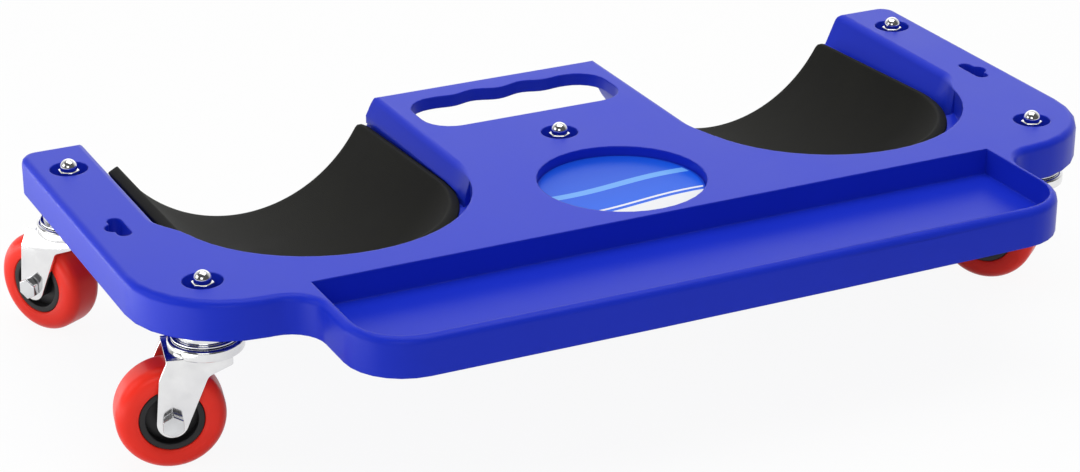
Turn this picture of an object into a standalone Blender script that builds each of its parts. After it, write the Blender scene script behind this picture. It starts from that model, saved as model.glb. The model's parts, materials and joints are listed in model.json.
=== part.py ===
# Rolling knee creeper: a moulded deck with two foam-lined knee troughs, a carry handle and
# a tool tray, standing on five swivel casters. Metres, +Z up, floor at Z = 0, the back
# (where the shins leave the troughs) toward +Y.

import math

import bmesh
import bpy
from mathutils import Matrix, Vector

# Fits between pieces
GAP = 0.0003
HOLE_PLAY = 0.0004
OVERRUN = 0.002
WELD = 0.00001

# Foam knee pads: a bent sheet, cupped at its front end
PAD_RADIUS = 0.1023
PAD_THICKNESS = 0.008
PAD_CLEARANCE = 0.0004
PAD_EDGE_ROOM = 0.0008
PAD_FRONT_ANGLE = math.radians(65)
PAD_BACK_ANGLE = math.radians(62.2)
PAD_AXIS_RISE = 0.0309
PAD_BACK_SETBACK = 0.0063
CUP_OFFSET = 0.010

# Trough walls of the deck
TROUGH_WALL = 0.003
INNER_SLOPE_DROP = 0.0195
INNER_SLOPE_RUN = 0.0103
INNER_STEP = 0.006
OUTER_SLOPE_DROP = 0.023
OUTER_SLOPE_RUN = 0.0103
OUTER_FRONT_RUN = 0.0027
OUTER_LEDGE = 0.0075
SLOPE_TAPER = 0.034
EDGE_ROLL = 0.008
FRONT_ROLL = 0.0008
POCKET_START = 0.028
POCKET_LEAD = 0.0030
POCKET_INSET = 0.0018
POCKET_DEPTH = 0.0175

# Deck moulding
HANDLE_WIDTH = 0.175
HANDLE_SETBACK = 0.0063
ARM_WIDTH = 0.0449
ARM_REACH = 0.152
SKIRT_DEPTH = 0.026
SKIRT_WALL = 0.003
DECK_SKIN = 0.003
EDGE_FILLET = 0.005
SHOULDER_CORNER = 0.070
SHOULDER_NECK = 0.024
ARM_CORNER = 0.012
SHOULDER_DROP = 0.011
SHOULDER_SWEEP = 0.001
RIB_WIDTH = 0.0025
RIB_RISE = 0.004

# Tool tray along the front
SHELF_WIDTH = 0.027
TRAY_LENGTH = 0.495
TRAY_WIDTH = 0.099
TRAY_DEPTH = 0.018
TRAY_RIM = 0.0052
TRAY_CORNER = 0.040
TRAY_BOW = 0.0024

# Carry handle opening with finger grooves
GRIP_LENGTH = 0.152
GRIP_OPENING = 0.0588
GRIP_BAR = 0.0214
GRIP_CORNER = 0.022
GRIP_LIP = 0.009
FINGER_PITCH = 0.0387
FINGER_DEPTH = 0.0023

# Round label recess and its label
LABEL_RECESS_RADIUS = 0.057
LABEL_RECESS_DEPTH = 0.0075
LABEL_SETBACK = 0.069
LABEL_MARGIN = 0.001
LABEL_THICKNESS = 0.0005

# Hanging slots in the arms
SLOT_LENGTH = 0.031
SLOT_WIDTH = 0.0096
SLOT_EYE_RADIUS = 0.007
SLOT_EYE_SHIFT = 0.0027
SLOT_COLLAR_DEPTH = 0.014

# Places of the caster stems
FRONT_STEM_INSET = 0.0422
REAR_STEM_INSET_X = 0.0231
REAR_STEM_INSET_Y = 0.043
CENTRE_STEM_AHEAD = 0.0413

# Stem, nut and washer
STEM_RADIUS = 0.004
STEM_HEAD_RADIUS = 0.008
STEM_HEAD_HEIGHT = 0.0035
BOSS_RADIUS = 0.016
NUT_POCKET_RADIUS = 0.013
NUT_POCKET_DEPTH = 0.0095
NUT_ACROSS_FLATS = 0.013
NUT_HEX_HEIGHT = 0.0068
NUT_DOME_RADIUS = 0.0058
NUT_DOME_RISE = 0.0018
WASHER_RADIUS = 0.0095
WASHER_THICKNESS = 0.0016

# Swivel race and fork
CAP_RADIUS = 0.0195
CAP_RIM_RADIUS = 0.0217
CAP_RIM_HEIGHT = 0.0017
CAP_HEIGHT = 0.0104
RACE_RADIUS = 0.0243
RACE_HEIGHT = 0.006
FORK_PLATE = 0.0025
FORK_CLEARANCE = 0.0015
FORK_TYRE_SPACE = 0.006
LEG_END_RADIUS = 0.01
LEG_KNEE_DROP = 0.0112
LEG_FRONT_KNEE = 0.001
LEG_FRONT_REACH = 0.0145
LEG_FRONT_DROP = 0.0045
LEG_BACK_KNEE = 0.0318
LEG_BACK_REACH = 0.0268
TRAIL = 0.0246

# Wheel and axle
WHEEL_RADIUS = 0.0347
TYRE_WIDTH = 0.029
TYRE_SHOULDER = 0.008
HUB_RADIUS = 0.0205
HUB_RIM_INSET = 0.0005
HUB_RIM_WIDTH = 0.0042
HUB_DISH = 0.006
HUB_BOSS_RADIUS = 0.0092
BUSH_RADIUS = 0.006
AXLE_RADIUS = 0.004
AXLE_HEAD_FLATS = 0.013
AXLE_HEAD_HEIGHT = 0.005
AXLE_NUT_HEIGHT = 0.0065
AXLE_END = 0.002

# Fineness of the round forms
ROUND_STEPS = 20
SMALL_ROUND_STEPS = 12
LABEL_STEPS = 36
OUTLINE_STEPS = 7
POCKET_STEPS = 22
PAD_ARC_STEPS = 10
CUP_STEPS = 14
SLOPE_TAPER_STEPS = 6
FINGER_STEPS = 26
SHARP_ANGLE = math.radians(35)

# Swivel angle of each caster, the heading from its stem to its axle
SWIVELS = {
    "front_left": math.radians(167.0),
    "front_right": math.radians(130.0),
    "rear_left": math.radians(119.7),
    "rear_right": math.radians(125.0),
    "centre": math.radians(140.0),
}

# Heights, worked out from the floor up
web_low = 2 * WHEEL_RADIUS + FORK_TYRE_SPACE
web_top = web_low + FORK_PLATE
race_top = web_top + RACE_HEIGHT
cap_low = race_top + GAP
cap_top = cap_low + CAP_HEIGHT
deck_low = cap_top + GAP
deck_top = deck_low + SKIRT_DEPTH

# Trough sizes across the deck
seat_radius = PAD_RADIUS + PAD_THICKNESS + PAD_CLEARANCE
shell_radius = seat_radius + TROUGH_WALL
sheet_radius = PAD_RADIUS + PAD_THICKNESS / 2
foot_half_width = math.sqrt((sheet_radius + PAD_CLEARANCE) ** 2 - (PAD_AXIS_RISE + INNER_SLOPE_DROP) ** 2)
knee_inner = HANDLE_WIDTH / 2
inner_foot = knee_inner + INNER_SLOPE_RUN
knee_axis = inner_foot + foot_half_width
outer_foot = knee_axis + foot_half_width + OUTER_LEDGE
knee_outer = outer_foot + OUTER_SLOPE_RUN
pocket_radius = knee_axis - knee_inner - POCKET_INSET
pocket_fall = POCKET_START - POCKET_LEAD
pocket_half = math.sqrt(pocket_radius ** 2 - pocket_fall ** 2)
half_length = knee_outer + ARM_WIDTH

# Places along the deck, with the whole depth centred on Y = 0
front_reach = POCKET_LEAD + pocket_radius + SHELF_WIDTH + TRAY_WIDTH + TRAY_RIM
knee_y = (front_reach - ARM_REACH) / 2
pocket_y = knee_y - POCKET_LEAD
tray_back = pocket_y - pocket_radius - SHELF_WIDTH
tray_front = tray_back - TRAY_WIDTH
deck_front = tray_front - TRAY_RIM
shoulder_front = tray_back - SHOULDER_DROP
arm_back = knee_y + ARM_REACH
handle_back = arm_back - HANDLE_SETBACK
grip_back = handle_back - GRIP_BAR
grip_front = grip_back - GRIP_OPENING
cup_y = knee_y + CUP_OFFSET
pad_back = arm_back - PAD_BACK_SETBACK
label_y = knee_y - LABEL_SETBACK
slope_start = knee_y - POCKET_START
slot_x = half_length - ARM_WIDTH / 2
tray_side = TRAY_LENGTH / 2 + TRAY_RIM
shoulder_room = half_length - tray_side - SHOULDER_NECK - SHOULDER_SWEEP
shoulder_corner = min(SHOULDER_CORNER, shoulder_room)

STEMS = {
    "front_left": (FRONT_STEM_INSET - half_length, shoulder_front + FRONT_STEM_INSET),
    "front_right": (half_length - FRONT_STEM_INSET, shoulder_front + FRONT_STEM_INSET),
    "rear_left": (REAR_STEM_INSET_X - half_length, arm_back - REAR_STEM_INSET_Y),
    "rear_right": (half_length - REAR_STEM_INSET_X, arm_back - REAR_STEM_INSET_Y),
    "centre": (0.0, grip_front - CENTRE_STEM_AHEAD),
}

# Heights of what sits in a nut pocket
pocket_floor = deck_top - NUT_POCKET_DEPTH
washer_low = pocket_floor + GAP
nut_low = washer_low + WASHER_THICKNESS + GAP
nut_shoulder = nut_low + NUT_HEX_HEIGHT
dome_centre = nut_shoulder + NUT_DOME_RISE
stem_top = dome_centre

# Widths across a fork
leg_inner = TYRE_WIDTH / 2 + FORK_CLEARANCE
leg_outer = leg_inner + FORK_PLATE


for stale in list(bpy.data.objects):
    bpy.data.objects.remove(stale, do_unlink=True)
parts = bpy.data.collections.new("rolling_knee_creeper")
tools = bpy.data.collections.new("cutters")
bpy.context.scene.collection.children.link(parts)
bpy.context.scene.collection.children.link(tools)


# Materials

def finish(name, colour, roughness, metallic=0.0):
    material = bpy.data.materials.new(name)
    material.use_nodes = True
    shader = material.node_tree.nodes["Principled BSDF"]
    shader.inputs["Base Color"].default_value = (*colour, 1.0)
    shader.inputs["Roughness"].default_value = roughness
    shader.inputs["Metallic"].default_value = metallic
    return material


FINISHES = {
    "deck": finish("blue_moulding", (0.045, 0.055, 0.52), 0.38),
    "foam": finish("black_foam", (0.02, 0.02, 0.018), 0.9),
    "label": finish("label_print", (0.06, 0.3, 0.8), 0.4),
    "nut": finish("chrome_nut", (0.8, 0.8, 0.8), 0.12, 1.0),
    "washer": finish("zinc_washer", (0.6, 0.61, 0.62), 0.3, 1.0),
    "stem": finish("zinc_stem", (0.55, 0.56, 0.57), 0.35, 1.0),
    "cap": finish("chrome_race_cap", (0.72, 0.73, 0.75), 0.16, 1.0),
    "fork": finish("chrome_fork", (0.78, 0.78, 0.78), 0.15, 1.0),
    "axle": finish("zinc_axle", (0.66, 0.67, 0.68), 0.25, 1.0),
    "bush": finish("steel_bush", (0.5, 0.5, 0.5), 0.4, 1.0),
    "hub": finish("black_hub", (0.02, 0.02, 0.02), 0.45),
    "tyre": finish("red_tyre", (0.75, 0.06, 0.04), 0.4),
}


# Outlines and basic solids

def arc(centre_x, centre_y, radius, start, end, steps):
    turn = (end - start) / steps
    return [
        (centre_x + radius * math.cos(start + turn * n), centre_y + radius * math.sin(start + turn * n))
        for n in range(steps + 1)
    ]


def inset_corners(corners, inset):
    # Moves each side of a counter-clockwise outline inward and fits its corner radii to suit
    moved = []
    for n, (x, y, radius) in enumerate(corners):
        here = Vector((x, y))
        before = (here - Vector(corners[n - 1][:2])).normalized()
        after = (Vector(corners[(n + 1) % len(corners)][:2]) - here).normalized()
        left_before = Vector((-before.y, before.x))
        left_after = Vector((-after.y, after.x))
        shift = (left_before + left_after) * (inset / (1 + left_before.dot(left_after)))
        turn = before.x * after.y - before.y * after.x
        fitted = radius - inset if turn > 0 else radius + inset
        moved.append((x + shift.x, y + shift.y, max(fitted, 0.0) if radius > 0 else 0.0))
    return moved


def rounded(corners, steps=6):
    # Points of an outline whose corners (x, y, radius) are rounded with arcs
    points = []
    for n, (x, y, radius) in enumerate(corners):
        here = Vector((x, y))
        if radius <= 0:
            points.append((x, y))
            continue
        back = (Vector(corners[n - 1][:2]) - here).normalized()
        ahead = (Vector(corners[(n + 1) % len(corners)][:2]) - here).normalized()
        half = math.acos(max(-1.0, min(1.0, back.dot(ahead)))) / 2
        centre = here + (back + ahead).normalized() * (radius / math.sin(half))
        first = here + back * (radius / math.tan(half)) - centre
        last = here + ahead * (radius / math.tan(half)) - centre
        start = math.atan2(first.y, first.x)
        sweep = (math.atan2(last.y, last.x) - start + math.pi) % (2 * math.pi) - math.pi
        points += arc(centre.x, centre.y, radius, start, start + sweep, steps)
    return points


def mirrored(right_half):
    # A whole outline from the corners of its right half, which run from front to back
    return right_half + [(-x, y, radius) for x, y, radius in reversed(right_half)]


def as_object(name, form, collection, finish_name=None):
    mesh = bpy.data.meshes.new(name)
    bmesh.ops.recalc_face_normals(form, faces=form.faces)
    form.to_mesh(mesh)
    form.free()
    made = bpy.data.objects.new(name, mesh)
    collection.objects.link(made)
    if finish_name:
        mesh.materials.append(FINISHES[finish_name])
    if collection is tools:
        made.hide_render = True
        made.display_type = "WIRE"
    return made


def extruded(points, low, high):
    # A prism between two heights, from a filled flat curve, with one face on each end
    curve = bpy.data.curves.new("outline", "CURVE")
    curve.dimensions = "2D"
    curve.fill_mode = "BOTH"
    curve.extrude = (high - low) / 2
    spline = curve.splines.new("POLY")
    spline.points.add(len(points) - 1)
    for target, (x, y) in zip(spline.points, points):
        target.co = (x, y, 0.0, 1.0)
    spline.use_cyclic_u = True
    guide = bpy.data.objects.new("outline", curve)
    tools.objects.link(guide)
    depsgraph = bpy.context.evaluated_depsgraph_get()
    mesh = bpy.data.meshes.new_from_object(guide.evaluated_get(depsgraph))
    bpy.data.objects.remove(guide)
    form = bmesh.new()
    form.from_mesh(mesh)
    bpy.data.meshes.remove(mesh)
    bmesh.ops.remove_doubles(form, verts=form.verts, dist=WELD)
    form.normal_update()
    inside_caps = [
        edge for edge in form.edges
        if len(edge.link_faces) == 2 and all(abs(face.normal.z) > 0.99 for face in edge.link_faces)
    ]
    bmesh.ops.dissolve_edges(form, edges=inside_caps, use_verts=False)
    bmesh.ops.translate(form, vec=(0, 0, (low + high) / 2), verts=form.verts)
    return form


def profile_along_y(points, front, back):
    # A prism along Y from points (x, z) of its section
    form = extruded(points, -back, -front)
    bmesh.ops.rotate(form, cent=(0, 0, 0), matrix=Matrix.Rotation(math.pi / 2, 3, "X"), verts=form.verts)
    return form


def cylinder(radius, low, high, steps=ROUND_STEPS, x=0.0, y=0.0):
    form = bmesh.new()
    place = Matrix.Translation((x, y, (low + high) / 2))
    bmesh.ops.create_cone(form, cap_ends=True, segments=steps, radius1=radius, radius2=radius,
                          depth=high - low, matrix=place)
    return form


def hexagon(across_flats, low, high):
    return cylinder(across_flats / math.sqrt(3), low, high, 6)


def block(low, high):
    form = bmesh.new()
    size = [top - bottom for bottom, top in zip(low, high)]
    middle = [(top + bottom) / 2 for bottom, top in zip(low, high)]
    bmesh.ops.create_cube(form, size=1.0, matrix=Matrix.Translation(middle) @ Matrix.Diagonal((*size, 1.0)))
    return form


def turned(profile, steps=ROUND_STEPS):
    # A ring from a closed profile of (radius, height) points, spun round Z
    form = bmesh.new()
    corners = [form.verts.new((radius, 0.0, height)) for radius, height in profile]
    sides = [form.edges.new((corners[n - 1], corners[n])) for n in range(len(corners))]
    bmesh.ops.spin(form, geom=corners + sides, cent=(0, 0, 0), axis=(0, 0, 1),
                   angle=2 * math.pi, steps=steps, use_merge=True)
    bmesh.ops.remove_doubles(form, verts=form.verts, dist=WELD)
    return form


def combine(target, tool, operation):
    change = target.modifiers.new(tool.name, "BOOLEAN")
    change.operation = operation
    change.solver = "EXACT"
    change.object = tool


def settled(made):
    # The evaluated mesh of an object, which is then removed
    depsgraph = bpy.context.evaluated_depsgraph_get()
    mesh = bpy.data.meshes.new_from_object(made.evaluated_get(depsgraph))
    mesh.shade_smooth()
    mesh.set_sharp_from_angle(angle=SHARP_ANGLE)
    bpy.data.objects.remove(made)
    return mesh


# Knee trough: a half pipe along Y whose front end is cupped, at a radius about the pad's axis

def cup_surface(radius, rim_angles, back, back_share=1.0):
    form = bmesh.new()
    points = [
        form.verts.new((radius * math.sin(angle), 0.0, -radius * math.cos(angle))) for angle in rim_angles
    ]
    line = [form.edges.new(pair) for pair in zip(points, points[1:])]
    bmesh.ops.spin(form, geom=points + line, cent=(0, 0, 0), axis=(0, 0, 1), angle=-math.pi, steps=CUP_STEPS)
    bmesh.ops.remove_doubles(form, verts=form.verts, dist=WELD)
    open_ends = [edge for edge in form.edges if all(abs(vert.co.y) < WELD for vert in edge.verts)]
    grown = bmesh.ops.extrude_edge_only(form, edges=open_ends)["geom"]
    moved = [item for item in grown if isinstance(item, bmesh.types.BMVert)]
    for vert in moved:
        angle = math.atan2(vert.co.x, -vert.co.z) * back_share
        vert.co = (radius * math.sin(angle), back - cup_y, -radius * math.cos(angle))
    bmesh.ops.remove_doubles(form, verts=form.verts, dist=WELD)
    if back_share < 1.0:
        twisted = [face for face in form.faces if any(vert.co.y > WELD for vert in face.verts)]
        bmesh.ops.triangulate(form, faces=twisted)
    bmesh.ops.translate(form, vec=(knee_axis, cup_y, deck_top + PAD_AXIS_RISE), verts=form.verts)
    return form


def pad_angles():
    return [PAD_FRONT_ANGLE * n / PAD_ARC_STEPS for n in range(PAD_ARC_STEPS + 1)]


def cup_solid(radius, rim_drop, back):
    # The trough's hollow, or its outside, up to a level rim at a depth below the deck's top
    rim = math.acos((PAD_AXIS_RISE + rim_drop) / radius)
    form = cup_surface(radius, [angle for angle in pad_angles() if angle < rim - 0.01] + [rim], back)
    edges = [edge for edge in form.edges if edge.is_boundary]
    back_edges = [edge for edge in edges if all(vert.co.y > back - WELD for vert in edge.verts)]
    closing = form.edges.new([vert for vert in form.verts
                              if vert.co.y > back - WELD and vert.co.z > deck_top - rim_drop - WELD])
    bmesh.ops.contextual_create(form, geom=back_edges + [closing])
    bmesh.ops.contextual_create(form, geom=[edge for edge in form.edges if edge.is_boundary])
    return form


def on_left(form):
    bmesh.ops.mirror(form, geom=form.verts[:] + form.edges[:] + form.faces[:], axis="X", merge_dist=-1.0)
    right = [vert for vert in form.verts if vert.co.x > 0]
    bmesh.ops.delete(form, geom=right, context="VERTS")
    return form


SIDES = {"right": lambda form: form, "left": on_left}


# Deck moulding

def deck_corners():
    bow = [
        (tray_side * n / 4, deck_front + TRAY_BOW * (n / 4) ** 2, 0.0 if n < 4 else TRAY_CORNER)
        for n in range(1, 5)
    ]
    return mirrored([
        *bow,
        (tray_side, shoulder_front, SHOULDER_NECK),
        (half_length, shoulder_front + SHOULDER_SWEEP, shoulder_corner),
        (half_length, arm_back, ARM_CORNER),
        (knee_axis, arm_back, 0.0),
        (knee_axis, handle_back, 0.0),
    ])


def tray_corners():
    inner = TRAY_LENGTH / 2
    bow = [
        (inner * n / 4, tray_front + TRAY_BOW * (n / 4) ** 2, 0.0 if n < 4 else TRAY_CORNER - TRAY_RIM)
        for n in range(1, 5)
    ]
    return mirrored([*bow, (inner, tray_back, 0.0)])


def slope_ring(y):
    # Section of the space between a trough's sloped walls, drawn in at the front to meet the pocket
    along = min((y - slope_start) / SLOPE_TAPER, 1.0)
    opened = along ** 2 * (3 - 2 * along)
    swing = along * (1 - along) ** 2 * SLOPE_TAPER * pocket_fall / pocket_half
    inner_top = knee_axis - pocket_half - (knee_axis - pocket_half - knee_inner) * opened - swing
    outer_top = knee_axis + pocket_half + (knee_outer - knee_axis - pocket_half) * opened + swing
    outer_run = OUTER_FRONT_RUN + (OUTER_SLOPE_RUN - OUTER_FRONT_RUN) * opened
    roll = FRONT_ROLL + (EDGE_ROLL - FRONT_ROLL) * opened
    step_x = inner_foot - (inner_foot - inner_top) * INNER_STEP / INNER_SLOPE_DROP
    flare = 2.5 * EDGE_ROLL
    rise = flare / 18
    points = rounded([
        (outer_top - outer_run, -OUTER_SLOPE_DROP, 0.0),
        (outer_top, 0.0, roll),
        (outer_top + flare, rise, 0.0),
        (inner_top - flare, rise, 0.0),
        (inner_top, 0.0, roll),
        (step_x, INNER_STEP - INNER_SLOPE_DROP, 0.0),
        (step_x, -INNER_SLOPE_DROP, 0.0),
    ], 5)
    return [(x, y, deck_top + z) for x, z in points]


def slopes():
    steps = range(SLOPE_TAPER_STEPS + 1)
    places = [slope_start + SLOPE_TAPER * n / SLOPE_TAPER_STEPS for n in steps]
    form = bmesh.new()
    rings = [
        [form.verts.new(point) for point in slope_ring(y)]
        for y in (slope_start - OVERRUN, *places, arm_back + OVERRUN)
    ]
    for near, far in zip(rings, rings[1:]):
        for n in range(len(near)):
            form.faces.new((near[n - 1], near[n], far[n], far[n - 1]))
    form.faces.new(rings[0])
    form.faces.new(reversed(rings[-1]))
    bmesh.ops.recalc_face_normals(form, faces=form.faces)
    bmesh.ops.triangulate(form, faces=form.faces)
    return form


def pocket_points(grow, end_y):
    # Round front of a trough's opening, cut off square where the sloped walls start
    radius = pocket_radius + grow
    dip = math.asin((pocket_y - end_y) / radius)
    return arc(knee_axis, pocket_y, radius, math.pi + dip, 2 * math.pi - dip, POCKET_STEPS)


def grip_points():
    # Handle opening: rounded ends, a straight front and a back edge with finger grooves
    half = GRIP_LENGTH / 2
    front = arc(GRIP_CORNER - half, grip_front + GRIP_CORNER, GRIP_CORNER, math.pi, 1.5 * math.pi, 6)
    front += arc(half - GRIP_CORNER, grip_front + GRIP_CORNER, GRIP_CORNER, 1.5 * math.pi, 2 * math.pi, 6)
    corner_y = grip_back - GRIP_CORNER
    back = arc(half - GRIP_CORNER, corner_y, GRIP_CORNER, 0.0, math.pi / 2, 6)
    span = half - GRIP_CORNER
    for n in range(1, FINGER_STEPS):
        x = span - 2 * span * n / FINGER_STEPS
        fade = min(1.0, 4 * n / FINGER_STEPS, 4 * (FINGER_STEPS - n) / FINGER_STEPS)
        back.append((x, grip_back - FINGER_DEPTH * fade * math.cos(2 * math.pi * x / FINGER_PITCH)))
    back += arc(GRIP_CORNER - half, corner_y, GRIP_CORNER, math.pi / 2, math.pi, 6)
    return front + back


def slot_points(grow):
    # Hanging slot along Y with a round eye bulging toward the arm's outer edge
    half = SLOT_WIDTH / 2 + grow
    reach = (SLOT_LENGTH - SLOT_WIDTH) / 2
    eye_x = slot_x + SLOT_EYE_SHIFT
    eye_radius = SLOT_EYE_RADIUS + grow
    meet = math.acos((half - SLOT_EYE_SHIFT) / eye_radius)
    points = arc(slot_x, knee_y - reach, half, math.pi, 2 * math.pi, 6)
    points += arc(eye_x, knee_y, eye_radius, -meet, meet, 8)
    points += arc(slot_x, knee_y + reach, half, 0.0, math.pi, 6)
    return points


def slab():
    form = extruded(rounded(deck_corners(), OUTLINE_STEPS), deck_low, deck_top)
    form.normal_update()
    top_rim = [
        edge for edge in form.edges
        if all(vert.co.z > deck_top - WELD for vert in edge.verts)
        and any(abs(face.normal.z) < 0.5 for face in edge.link_faces)
    ]
    bmesh.ops.bevel(form, geom=top_rim, offset=EDGE_FILLET, segments=3, profile=0.5, affect="EDGES")
    return as_object("deck_shell", form, parts, "deck")


def outer_wall(low):
    # Section of the wall behind a trough's outer slope, down to the skirt's lower edge
    inside = knee_axis + foot_half_width - TROUGH_WALL
    outside = [(outer_foot + SKIRT_WALL, low), (knee_outer + SKIRT_WALL, deck_top)]
    return [(inside, low), *outside, (inside, deck_top)]


def hollow():
    # Space under the deck's skin, less the walls, bosses and ribs that stay
    inner = rounded(inset_corners(deck_corners(), SKIRT_WALL), OUTLINE_STEPS)
    space = as_object("underside", extruded(inner, deck_low - OVERRUN, deck_top - DECK_SKIN), tools)
    low = deck_low - 2 * OVERRUN
    high = deck_top
    rib_low = deck_low + RIB_RISE
    kept = []
    tray_wall = rounded(inset_corners(tray_corners(), -SKIRT_WALL), OUTLINE_STEPS)
    kept.append(extruded(tray_wall, deck_top - TRAY_DEPTH - DECK_SKIN, high))
    recess = LABEL_RECESS_RADIUS + SKIRT_WALL
    kept.append(cylinder(recess, deck_top - LABEL_RECESS_DEPTH - DECK_SKIN, high, LABEL_STEPS, 0.0, label_y))
    lip = GRIP_LENGTH / 2 + SKIRT_WALL
    kept.append(block((-lip, grip_front - SKIRT_WALL, deck_top - GRIP_LIP), (lip, handle_back, high)))
    for x, y in STEMS.values():
        kept.append(cylinder(BOSS_RADIUS, low, high, ROUND_STEPS, x, y))
    rib = RIB_WIDTH / 2
    for turn in SIDES.values():
        pocket_wall = pocket_points(SKIRT_WALL, slope_start + 3 * SKIRT_WALL)
        kept.append(turn(extruded(pocket_wall, deck_top - INNER_SLOPE_DROP - TROUGH_WALL, high)))
        kept.append(turn(profile_along_y(outer_wall(low), slope_start - 2 * SKIRT_WALL, arm_back)))
        kept.append(turn(extruded(slot_points(SKIRT_WALL), deck_top - SLOT_COLLAR_DEPTH, high)))
        for y in (knee_y - ARM_WIDTH, knee_y + ARM_WIDTH):
            kept.append(turn(block((knee_outer, y - rib, rib_low), (half_length - OVERRUN, y + rib, high))))
        for x, end_y in ((knee_inner / 2, grip_front), (knee_axis, knee_y)):
            start = (x - rib, deck_front + OVERRUN, rib_low)
            kept.append(turn(block(start, (x + rib, end_y, high))))
    for form in kept:
        combine(space, as_object("underside_keep", form, tools), "DIFFERENCE")
    return space


def deck():
    made = slab()
    combine(made, hollow(), "DIFFERENCE")
    below = block((-inner_foot, handle_back - SKIRT_WALL - OVERRUN, deck_low - OVERRUN),
                  (inner_foot, handle_back + OVERRUN, deck_top - GRIP_LIP))
    combine(made, as_object("grip_below", below, tools), "DIFFERENCE")
    for side, turn in SIDES.items():
        shell = cup_solid(shell_radius, DECK_SKIN / 2, handle_back - GAP)
        combine(made, as_object("trough_shell_" + side, turn(shell), tools), "UNION")
        combine(made, as_object("slopes_" + side, turn(slopes()), tools), "DIFFERENCE")
        front = extruded(pocket_points(0.0, slope_start), deck_top - POCKET_DEPTH, deck_top + OVERRUN)
        combine(made, as_object("pocket_" + side, turn(front), tools), "DIFFERENCE")
        inside = cup_solid(sheet_radius, POCKET_DEPTH - GAP, arm_back + OVERRUN)
        combine(made, as_object("trough_inside_" + side, turn(inside), tools), "DIFFERENCE")
        combine(made, seat_space(side, turn), "DIFFERENCE")
        slot = extruded(slot_points(0.0), deck_low - OVERRUN, deck_top + OVERRUN)
        combine(made, as_object("slot_" + side, turn(slot), tools), "DIFFERENCE")
    tray = extruded(rounded(tray_corners(), OUTLINE_STEPS), deck_top - TRAY_DEPTH, deck_top + OVERRUN)
    combine(made, as_object("tray", tray, tools), "DIFFERENCE")
    grip = extruded(grip_points(), deck_low - OVERRUN, deck_top + OVERRUN)
    combine(made, as_object("grip", grip, tools), "DIFFERENCE")
    recess = cylinder(LABEL_RECESS_RADIUS, deck_top - LABEL_RECESS_DEPTH, deck_top + OVERRUN,
                      LABEL_STEPS, 0.0, label_y)
    combine(made, as_object("label_recess", recess, tools), "DIFFERENCE")
    for name, (x, y) in STEMS.items():
        pocket = cylinder(NUT_POCKET_RADIUS, pocket_floor, deck_top + OVERRUN, ROUND_STEPS, x, y)
        combine(made, as_object("nut_pocket_" + name, pocket, tools), "DIFFERENCE")
        hole = cylinder(STEM_RADIUS + HOLE_PLAY, deck_low - OVERRUN, deck_top, SMALL_ROUND_STEPS, x, y)
        combine(made, as_object("stem_hole_" + name, hole, tools), "DIFFERENCE")
    return made


def thicken(surface, thickness):
    sheet = surface.modifiers.new("sheet", "SOLIDIFY")
    sheet.thickness = thickness
    sheet.offset = 1.0
    sheet.use_even_offset = True


def seat_space(side, turn):
    # Room for the pad's sheet, a little wider than the pad and open at the back
    back = arm_back + OVERRUN
    narrowing = (1 - PAD_BACK_ANGLE / PAD_FRONT_ANGLE) * (back - cup_y) / (pad_back - cup_y)
    angles = pad_angles() + [PAD_FRONT_ANGLE + PAD_EDGE_ROOM / PAD_RADIUS]
    inner = PAD_RADIUS - PAD_CLEARANCE
    space = as_object("seat_" + side, turn(cup_surface(inner, angles, back, 1 - narrowing)), tools)
    thicken(space, seat_radius - inner)
    return space


def knee_pads():
    for side, turn in SIDES.items():
        top = cup_surface(PAD_RADIUS, pad_angles(), pad_back, PAD_BACK_ANGLE / PAD_FRONT_ANGLE)
        thicken(as_object("knee_pad_" + side, turn(top), parts, "foam"), PAD_THICKNESS)


def label():
    low = deck_top - LABEL_RECESS_DEPTH + GAP
    disc = cylinder(LABEL_RECESS_RADIUS - LABEL_MARGIN, low, low + LABEL_THICKNESS,
                    LABEL_STEPS, 0.0, label_y)
    as_object("label_disc", disc, parts, "label")


# Casters

def acorn_nut():
    hexed = as_object("acorn_nut", hexagon(NUT_ACROSS_FLATS, nut_low, nut_shoulder), tools, "nut")
    dome = [(0.0, dome_centre + NUT_DOME_RADIUS)]
    dome += [
        (NUT_DOME_RADIUS * math.cos(angle), dome_centre + NUT_DOME_RADIUS * math.sin(angle))
        for angle in (math.pi * n / 8 for n in range(3, -1, -1))
    ]
    foot = nut_low + NUT_HEX_HEIGHT / 2
    dome += [(NUT_DOME_RADIUS, foot), (0.0, foot)]
    combine(hexed, as_object("nut_dome", turned(dome, SMALL_ROUND_STEPS), tools), "UNION")
    bore = cylinder(STEM_RADIUS + GAP, nut_low - OVERRUN, stem_top + GAP, SMALL_ROUND_STEPS)
    combine(hexed, as_object("nut_bore", bore, tools), "DIFFERENCE")
    return settled(hexed)


def washer():
    inner = STEM_RADIUS + HOLE_PLAY
    top = washer_low + WASHER_THICKNESS
    ring = [(inner, top), (WASHER_RADIUS, top), (WASHER_RADIUS, washer_low), (inner, washer_low)]
    return settled(as_object("washer", turned(ring, SMALL_ROUND_STEPS), tools, "washer"))


def stem():
    head_top = web_low - GAP
    profile = [
        (0.0, stem_top), (STEM_RADIUS, stem_top), (STEM_RADIUS, head_top), (STEM_HEAD_RADIUS, head_top),
        (STEM_HEAD_RADIUS, head_top - STEM_HEAD_HEIGHT), (0.0, head_top - STEM_HEAD_HEIGHT),
    ]
    return settled(as_object("stem", turned(profile, SMALL_ROUND_STEPS), tools, "stem"))


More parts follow.
